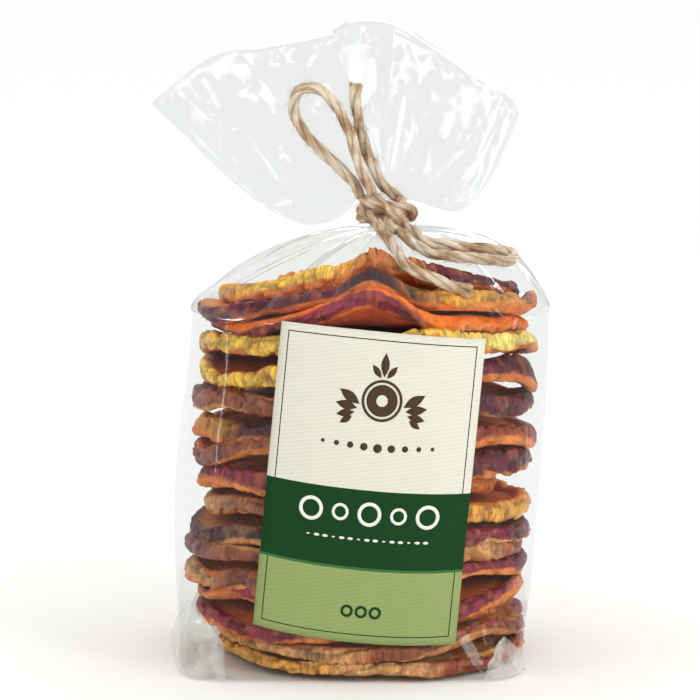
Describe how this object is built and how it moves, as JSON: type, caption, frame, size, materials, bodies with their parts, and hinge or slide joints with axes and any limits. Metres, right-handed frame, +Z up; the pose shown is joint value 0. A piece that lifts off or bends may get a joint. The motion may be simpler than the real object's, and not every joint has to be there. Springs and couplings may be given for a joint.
{
  "type": "tied clear bag of dried apple rings",
  "caption": "Clear block-bottom bag filled with a column of dried apple rings, gathered at the neck and tied with twine, with a turned paper label on its front; it stands on its flat base.",
  "frame": {"origin": "middle of the base, on the surface the bag stands on", "axes": "+Z up through the neck, -Y out of the front that carries the label, +X to the right as seen from the front"},
  "size_m": [0.0929, 0.0777, 0.1494],
  "materials": {
    "clear_film": "thin clear glossy film with creases",
    "label_paper": "uncoated laid paper printed in cream and two greens",
    "jute_twine": "rough twisted jute with loose fibres",
    "dried_apple": "leathery dried flesh with wrinkled skin, from golden to deep purple"
  },
  "bodies": {
    "root": {"bag": "clear_film", "label": "label_paper", "twine_knot": "jute_twine", "twine_loop_left": "jute_twine", "twine_loop_right": "jute_twine", "twine_tail_up": "jute_twine", "twine_tail_low": "jute_twine"}
  },
  "joints": []
}
